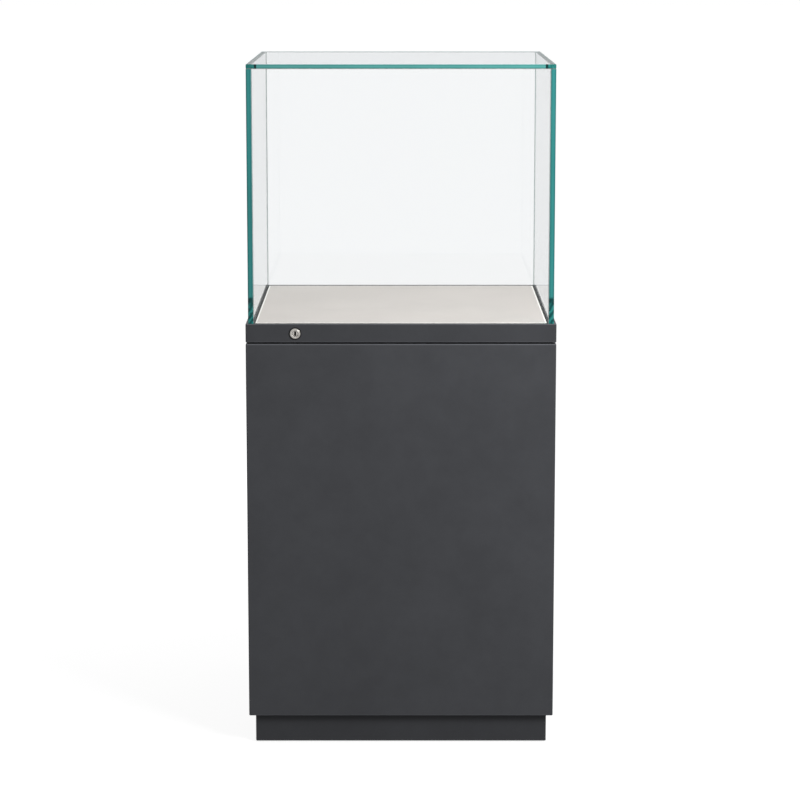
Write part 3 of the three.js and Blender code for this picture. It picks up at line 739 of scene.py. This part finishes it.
def body_shell():
    piece = sweep("body_shell_fine", channel(
        0, shell_low.z, shell_high.z, BODY_TOP_FLANGE, BODY_FOOT_FLANGE), FOLD)
    opening_x = HALF_W - BACK_BORDER
    low = panel_low.z - PANEL_GAP
    high = panel_high.z + PANEL_GAP
    opening = prism("back_opening", rounded([
        (-opening_x, low, BACK_CORNER), (opening_x, low, BACK_CORNER),
        (opening_x, high, BACK_CORNER), (-opening_x, high, BACK_CORNER),
    ]), (HALF_D - 2 * SHEET, HALF_D + SHEET))
    drills = [
        upright_drill(f"base_bolt_{corner}", BASE_BOLT_HOLE,
                      shell_low.z - SHEET, shell_low.z + 2 * SHEET)
        for corner in CORNER_NAMES
    ] + [
        upright_drill(f"collar_screw_{side}", COLLAR_SCREW_HOLE,
                      shell_high.z - 2 * SHEET, shell_high.z + SHEET)
        for side in SIDE_NAMES
    ]
    boolean(piece, [opening] + drills, "DIFFERENCE")
    return stand_for_folded(piece, "body_shell")


def plinth():
    inset = HALF_W - plinth_high.x
    piece = sweep("plinth_frame_fine", channel(
        inset, plinth_low.z, plinth_high.z, PLINTH_TOP_FLANGE, PLINTH_FOOT_FLANGE), inset + FOLD)
    drills = [
        upright_drill(f"base_bolt_{corner}", BASE_BOLT_HOLE,
                      plinth_high.z - 2 * SHEET, plinth_high.z + SHEET)
        for corner in CORNER_NAMES
    ]
    boolean(piece, drills, "DIFFERENCE")
    return stand_for_folded(piece, "plinth_frame", POWDER_PLINTH_SHADE)


def back_panel():
    """A flush sheet with rounded corners, folded in at its top and bottom."""
    half = panel_high.x
    fold_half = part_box("top_rail_back")[1].x
    sheet = prism("back_panel_fine", rounded([
        (-half, panel_low.z, BACK_CORNER - PANEL_GAP), (half, panel_low.z, BACK_CORNER - PANEL_GAP),
        (half, panel_high.z, BACK_CORNER - PANEL_GAP), (-half, panel_high.z, BACK_CORNER - PANEL_GAP),
    ]), (panel_high.y - SHEET, panel_high.y))
    ease(sheet, 0.5 * MM)
    folds = []
    for name, z in (("low", panel_low.z), ("high", panel_high.z - SHEET)):
        folds.append(block(f"fold_{name}", (-fold_half, panel_low.y, z),
                           (fold_half, panel_high.y - SHEET / 2, z + SHEET), 0.2 * MM, 2))
    boolean(sheet, folds, "UNION")
    drills = []
    for row in ("lower", "upper"):
        for side in ("left", "right"):
            low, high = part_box(f"back_screw_{row}_{side}")
            centre = ((low.x + high.x) / 2, panel_high.y, (low.z + high.z) / 2)
            profile = [(0, -2 * SHEET), (PANEL_SCREW_HOLE, -2 * SHEET),
                       (PANEL_SCREW_HOLE, SHEET), (0, SHEET)]
            drills.append(lathe(f"panel_drill_{row}_{side}", profile, centre, steps=24))
    boolean(sheet, drills, "DIFFERENCE")
    return stand_for(smooth(sheet), "back_panel", MATERIALS["powder_coat"])


def ease(piece, width, segments=2):
    """Rounds every sharp edge of a piece by the same small width."""
    bm = bmesh.new()
    bm.from_mesh(piece.data)
    sharp = [edge for edge in bm.edges
             if edge.is_manifold and edge.calc_face_angle(0) > math.radians(50)]
    bmesh.ops.bevel(bm, geom=sharp, offset=width, segments=segments, profile=0.5,
                    affect="EDGES", clamp_overlap=False)
    bm.to_mesh(piece.data)
    bm.free()
    return piece


# ------------------------------------------------------------------ collar and deck

COLLAR_EDGE = 1.5 * MM
LIP_EDGE = 0.8 * MM
LIFT_FIT = 0.4 * MM
FIT = 0.3 * MM
COLLAR_FLANGE = 42 * MM
DECK_BEARING = 7 * MM
LOCK_HOLE_R = 8.3 * MM
LOCK_DOOR = 24 * MM  # half width of the way in to the lock, through the upstand
TONGUE_TRAVEL = 4 * MM  # width of the tongue's slot past its near side


def collar():
    """A box section with a rebate for the glass, drilled for the lock and slotted for its tongue."""
    glass_inset = HALF_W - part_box("glass_right")[1].x
    lip = glass_inset - LIFT_FIT
    upstand = HALF_W - deck_high.x + DECK_BEARING
    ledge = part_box("hood_seat_tape")[0].z - FIT
    low, high = collar_low.z, collar_high.z
    piece = sweep("collar_fine", rounded([
        (0, low, COLLAR_EDGE),
        (0, high, COLLAR_EDGE),
        (lip, high, LIP_EDGE),
        (lip, ledge, INNER_FOLD),
        (upstand, ledge, INNER_FOLD),
        (upstand, low + SHEET, INNER_FOLD),
        (COLLAR_FLANGE, low + SHEET, RAW_EDGE),
        (COLLAR_FLANGE, low, RAW_EDGE),
    ]), FOLD)
    hollow = sweep("collar_hollow", [
        (SHEET, low + SHEET), (SHEET, ledge - SHEET),
        (upstand - SHEET, ledge - SHEET), (upstand - SHEET, low + SHEET),
    ], FOLD)
    hole = lathe("lock_hole", [
        (0, -SHEET), (LOCK_HOLE_R, -SHEET), (LOCK_HOLE_R, 2 * SHEET), (0, 2 * SHEET),
    ], LOCK_AXIS, steps=48)
    door = block("lock_door",
                 (LOCK_AXIS.x - LOCK_DOOR, -HALF_D + upstand - 2 * SHEET, low + SHEET),
                 (LOCK_AXIS.x + LOCK_DOOR, -HALF_D + upstand + SHEET, ledge - SHEET))
    tongue_low, tongue_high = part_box("hood_tongue")
    slot = block("tongue_slot",
                 (tongue_low.x - MM, tongue_low.y - MM, ledge - 2 * SHEET),
                 (tongue_low.x + TONGUE_TRAVEL, tongue_high.y + MM, ledge + SHEET))
    drills = [
        upright_drill(f"collar_screw_{side}", COLLAR_SCREW_HOLE, low - SHEET, low + 2 * SHEET)
        for side in SIDE_NAMES
    ]
    boolean(piece, [hollow, hole, door, slot] + drills, "DIFFERENCE")
    return stand_for_folded(piece, "collar", POWDER_COLLAR)


def deck():
    inset = Vector((DECK_IN, DECK_IN, 0))
    piece = block("deck_board_fine", deck_low + inset, deck_high - inset, 0.8 * MM, 4)
    return stand_for(smooth(piece), "deck_board", MATERIALS["deck_paint"])


def gasket():
    """A lip seal that closes the gap between the deck and the glass."""
    low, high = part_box("deck_gasket")
    outer = HALF_W - high.x
    inner = HALF_W - deck_high.x + DECK_IN - 0.1 * MM
    piece = sweep("deck_gasket_fine", rounded([
        (outer, low.z, 0.3 * MM), (outer, high.z, 0.6 * MM),
        (inner, high.z, 0.6 * MM), (inner, low.z, 0.3 * MM),
    ], steps=3), outer + MM)
    return stand_for(smooth(piece), "deck_gasket", MATERIALS["black_rubber"])


# ------------------------------------------------------------------ glass hood

ARRIS = 0.7 * MM  # ground off every edge of a panel
PANELS = {"glass_top": 2, "glass_left": 0, "glass_right": 0, "glass_front": 1, "glass_back": 1}


def glass_panel(node, thin_axis):
    """A sheet with ground arrises: clear faces, green polished edges, and grey where it is bonded."""
    low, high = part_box(node)
    piece = block(f"{node}_fine", low, high, ARRIS, 1)
    is_top = thin_axis == 2
    is_side = thin_axis == 0
    stand_for(piece, node, TOP_GLASS if is_top else MATERIALS["clear_glass"],
              TOP_EDGE if is_top else UPRIGHT_EDGE, GLASS_BOND)
    for face in piece.data.polygons:
        normal = [abs(value) for value in face.normal]
        shows = is_top or (is_side and normal[2] < 0.1 and normal[1] > 0.5)
        face.material_index = 0 if normal[thin_axis] > 0.99 else (1 if shows else 2)
    return piece


# ------------------------------------------------------------------ lock

KEYWAY_W = 3.8 * MM
KEYWAY_H = 8.8 * MM
KEYWAY_DEPTH = 6 * MM
KEYWAY_ROUND = 1.3 * MM
RIM_R = 10 * MM  # the cylinder's face
CROWN_R = 7 * MM  # its flat, inside the rounded rim
CROWN_DROP = 0.75 * MM
CROWN_STEPS = 8
RIM_ABOVE = 0.2  # steeper than this the rim is no longer polished
FACE_THICK = 0.9 * MM
BARREL_R = 8 * MM
BORE_R = 5.6 * MM
PLUG_R = 5.3 * MM
DISC_FRONT = 7.9 * MM  # the drive disc behind the plug
DISC_REAR = 9.4 * MM
PIN_R = 1.5 * MM
PIN_ORBIT = 4.5 * MM  # the drive pin's distance from the lock's axis
MOUTH_W = 5.2 * MM  # the hollow round the keyway
MOUTH_H = 10 * MM
MOUTH_DEPTH = 0.35 * MM


def lock_ring():
    """A black trim ring with a rounded rim."""
    outer = (ring_high.x - ring_low.x) / 2
    front = ring_low.y + HALF_D
    rear = ring_high.y + HALF_D
    profile = rounded([
        (LOCK_HOLE_R, front, 0.15 * MM), (outer, front, 0.5 * MM),
        (outer, rear, 0.1 * MM), (LOCK_HOLE_R, rear, 0.1 * MM),
    ])
    piece = lathe("lock_escutcheon_fine", profile, LOCK_AXIS)
    return stand_for(smooth(piece), "lock_escutcheon", MATERIALS["black_metal"])


def lock_cylinder():
    """A bright face, crowned towards its polished rim, with a chamfer at the plug."""
    front = face_low.y + HALF_D
    rear = face_high.y + HALF_D
    seat = front + FACE_THICK
    profile = [(BORE_R, front + 0.5 * MM), (BORE_R + 0.3 * MM, front + 0.1 * MM),
               (BORE_R + 0.6 * MM, front), (CROWN_R, front)]
    for step in range(1, CROWN_STEPS + 1):
        angle = math.pi / 2 * step / CROWN_STEPS
        profile.append((CROWN_R + (RIM_R - CROWN_R) * math.sin(angle),
                        front + CROWN_DROP * (1 - math.cos(angle))))
    profile += [(RIM_R, seat), (BARREL_R, seat), (BARREL_R, rear), (BORE_R, rear)]
    piece = lathe("lock_cylinder_fine", profile, LOCK_AXIS, steps=96)
    stand_for(smooth(piece), "lock_cylinder", MATERIALS["bright_metal"], BRIGHT_RIM)
    for face in piece.data.polygons:
        face.material_index = 1 if -FLAT_ABOVE < face.normal.y < -RIM_ABOVE else 0
    return piece


def lens(half_width, half_height, steps=10):
    """A pointed oval outline of (x, z) points."""
    points = []
    for side in (1, -1):
        for step in range(steps):
            angle = math.pi * (step / steps - 0.5) * side
            points.append((side * half_width * math.cos(angle) ** 1.2, half_height * math.sin(angle)))
    return points


def lock_plug():
    """The plug, with a lens-shaped mouth sunk round the keyway, its drive disc and its pin."""
    front = plug_low.y + HALF_D
    disc = (plug_high.x - plug_low.x) / 2
    pin_rear = plug_high.y + HALF_D
    pin_out = PIN_ORBIT * math.sqrt(0.5)
    piece = lathe("lock_plug_fine", rounded([
        (0, front, 0), (PLUG_R, front, 0.35 * MM), (PLUG_R, DISC_FRONT, 0),
        (disc, DISC_FRONT, 0.15 * MM), (disc, DISC_REAR, 0.15 * MM), (0, DISC_REAR, 0),
    ]), LOCK_AXIS)
    drive_pin = lathe("drive_pin", [
        (0, DISC_FRONT + 0.5 * MM), (PIN_R, DISC_FRONT + 0.5 * MM), (PIN_R, pin_rear - 0.2 * MM),
        (PIN_R - 0.2 * MM, pin_rear), (0, pin_rear),
    ], LOCK_AXIS + Vector((-pin_out, 0, -pin_out)), steps=24)
    boolean(piece, [drive_pin], "UNION")
    mouth = prism("plug_mouth", lens(MOUTH_W / 2, MOUTH_H / 2),
                  (front - MM, front + MOUTH_DEPTH), LOCK_AXIS)
    half_w, half_h = KEYWAY_W / 2, KEYWAY_H / 2
    keyway = prism("keyway", rounded([
        (-half_w, -half_h, KEYWAY_ROUND), (half_w, -half_h, KEYWAY_ROUND),
        (half_w, half_h, KEYWAY_ROUND), (-half_w, half_h, KEYWAY_ROUND),
    ]), (front - MM, front + KEYWAY_DEPTH), LOCK_AXIS)
    boolean(piece, [mouth, keyway], "DIFFERENCE")
    stand_for(smooth(piece, 30), "lock_plug", MATERIALS["bright_metal"], KEYWAY_SHADE)
    # painted shade: the keyway's walls and floor take the near-black material
    for face in piece.data.polygons:
        offset = face.center - LOCK_AXIS
        inside = abs(offset.x) < half_w + 0.1 * MM and abs(offset.z) < half_h + 0.1 * MM
        sunk = MOUTH_DEPTH + 0.01 * MM < offset.y - front < KEYWAY_DEPTH + 0.1 * MM
        face.material_index = 1 if inside and sunk else 0
    return piece


# ------------------------------------------------------------------ fasteners that show

PANEL_SCREW_SEAT = panel_high.y + FIT
PANEL_SCREW_SHANK = 2 * MM
PANEL_SCREW_POINT = 0.4 * MM
SOCKET_R = 1.45 * MM
SOCKET_DEPTH = 1.3 * MM


def back_screw(node):
    """A button-head screw with a hexagon socket."""
    low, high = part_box(node)
    head = (high.x - low.x) / 2
    seat = PANEL_SCREW_SEAT - HALF_D
    top = high.y - HALF_D
    end = low.y - HALF_D
    shank = PANEL_SCREW_SHANK
    centre = Vector(((low.x + high.x) / 2, HALF_D, (low.z + high.z) / 2))
    profile = [(0, end), (shank - PANEL_SCREW_POINT, end), (shank, end + 0.5 * MM), (shank, seat),
               (head, seat)]
    for step in range(1, 8):
        angle = math.pi / 2 * step / 8
        profile.append((head * math.cos(angle) ** 0.7, seat + (top - seat) * math.sin(angle)))
    profile.append((0, top))
    piece = lathe(f"{node}_fine", profile, centre, steps=32)
    hexagon = [(SOCKET_R * math.cos(math.pi / 3 * k), SOCKET_R * math.sin(math.pi / 3 * k))
               for k in range(6)]
    socket = prism(f"{node}_socket", hexagon, (top - SOCKET_DEPTH, top + MM), centre)
    boolean(piece, [socket], "DIFFERENCE")
    return stand_for(smooth(piece, 30), node, MATERIALS["black_metal"])


# ------------------------------------------------------------------ studio

LENS = 119.8
SENSOR = 36.0
CAMERA_PLACE = (-0.0019, -5.381, 1.570)
CAMERA_DOWN = 9.81  # degrees below the horizon
VIEW_FAR = 500
WORLD_LIGHT = 0.26
FLOOR_HALF = 60.0
FLOOR_TONE = 0.2
GLOW_NEAR = 0.86  # the floor's own light beside the case
GLOW_FAR = 0.96  # and where the lamps no longer reach it
GLOW_FROM = 0.6
GLOW_TO = 3.5
CASE_MIDDLE = (0, 0, 0.8)
KEY_POWER = 105
BACK_POWER = 75
GLINT_POWER = 9


def camera():
    data = bpy.data.cameras.new("camera")
    data.lens = LENS
    data.sensor_width = SENSOR
    data.clip_end = VIEW_FAR
    eye = bpy.data.objects.new("camera", data)
    eye.location = CAMERA_PLACE
    eye.rotation_euler = (math.radians(90 - CAMERA_DOWN), 0, 0)
    bpy.context.scene.collection.objects.link(eye)
    bpy.context.scene.camera = eye


def seen(nodes, links):
    """1 for rays that the eye, a mirror or clear glass sends, else 0."""
    path = nodes.new("ShaderNodeLightPath")
    result = path.outputs["Is Camera Ray"]
    for kind in ("Is Transmission Ray", "Is Glossy Ray"):
        either = nodes.new("ShaderNodeMath")
        either.operation = "MAXIMUM"
        links.new(result, either.inputs[0])
        links.new(path.outputs[kind], either.inputs[1])
        result = either.outputs[0]
    return result


def world():
    """White where it is seen, and a plain light elsewhere."""
    sky = bpy.data.worlds.new("studio")
    bpy.context.scene.world = sky
    sky.use_nodes = True
    nodes, links = sky.node_tree.nodes, sky.node_tree.links
    nodes.clear()
    output = nodes.new("ShaderNodeOutputWorld")
    background = nodes.new("ShaderNodeBackground")
    background.inputs["Color"].default_value = (1, 1, 1, 1)
    strength = nodes.new("ShaderNodeMix")
    strength.inputs["A"].default_value = WORLD_LIGHT
    strength.inputs["B"].default_value = 1.0
    links.new(seen(nodes, links), strength.inputs["Factor"])
    links.new(strength.outputs["Result"], background.inputs["Strength"])
    links.new(background.outputs["Background"], output.inputs["Surface"])


def floor():
    """A white floor that keeps the shadow: paint, with a little light of its own for what is seen."""
    corners = [(-1, -1), (1, -1), (1, 1), (-1, 1)]
    plane = add_mesh("floor", [(x * FLOOR_HALF, y * FLOOR_HALF, 0) for x, y in corners], [(0, 1, 2, 3)])
    material = bpy.data.materials.new("floor")
    material.use_nodes = True
    nodes, links = material.node_tree.nodes, material.node_tree.links
    nodes.clear()
    output = nodes.new("ShaderNodeOutputMaterial")
    paint = nodes.new("ShaderNodeBsdfDiffuse")
    paint.inputs["Color"].default_value = (FLOOR_TONE, FLOOR_TONE, FLOOR_TONE, 1)
    glow = nodes.new("ShaderNodeEmission")
    place = nodes.new("ShaderNodeTexCoord")
    distance = nodes.new("ShaderNodeVectorMath")
    distance.operation = "LENGTH"
    links.new(place.outputs["Object"], distance.inputs[0])
    level = nodes.new("ShaderNodeMapRange")
    level.interpolation_type = "SMOOTHSTEP"
    for name, value in (("From Min", GLOW_FROM), ("From Max", GLOW_TO),
                        ("To Min", GLOW_NEAR), ("To Max", GLOW_FAR)):
        level.inputs[name].default_value = value
    links.new(distance.outputs["Value"], level.inputs["Value"])
    lift = nodes.new("ShaderNodeMath")
    lift.operation = "MULTIPLY"
    links.new(seen(nodes, links), lift.inputs[0])
    links.new(level.outputs["Result"], lift.inputs[1])
    links.new(lift.outputs[0], glow.inputs["Strength"])
    both = nodes.new("ShaderNodeAddShader")
    links.new(paint.outputs["BSDF"], both.inputs[0])
    links.new(glow.outputs["Emission"], both.inputs[1])
    links.new(both.outputs["Shader"], output.inputs["Surface"])
    plane.data.materials.append(material)


def softbox(name, place, aim, size, power, only=()):
    """A square lamp that no mirror shows, or one that lights and shows in some pieces only."""
    data = bpy.data.lights.new(name, "AREA")
    data.shape = "SQUARE"
    data.size = size
    data.energy = power
    lamp = bpy.data.objects.new(name, data)
    lamp.location = place
    lamp.visible_glossy = bool(only)
    lamp.visible_transmission = False
    if only:
        lit = bpy.data.collections.new(f"lit_by_{name}")
        for piece in only:
            lit.objects.link(piece)
        lamp.light_linking.receiver_collection = lit
    lamp.rotation_euler = (Vector(aim) - Vector(place)).to_track_quat("-Z", "Y").to_euler()
    bpy.context.scene.collection.objects.link(lamp)


def studio(lock_pieces):
    bpy.context.scene.view_settings.view_transform = "Standard"
    world()
    floor()
    softbox("key", (1.6, -1.8, 2.1), CASE_MIDDLE, 1.3, KEY_POWER)
    softbox("back", (-1.3, 2.6, 2.2), CASE_MIDDLE, 1.6, BACK_POWER)
    softbox("glint", (0.63, -3.1, 1.12), LOCK_AXIS, 0.35, GLINT_POWER, lock_pieces)


# ------------------------------------------------------------------ build

camera()
finish_nodes()
body_shell()
plinth()
back_panel()
collar()
deck()
gasket()
for panel_name, panel_axis in PANELS.items():
    glass_panel(panel_name, panel_axis)
lock_pieces = [lock_ring(), lock_cylinder(), lock_plug()]
for screw_row in ("lower", "upper"):
    for screw_side in ("left", "right"):
        back_screw(f"back_screw_{screw_row}_{screw_side}")
studio(lock_pieces)
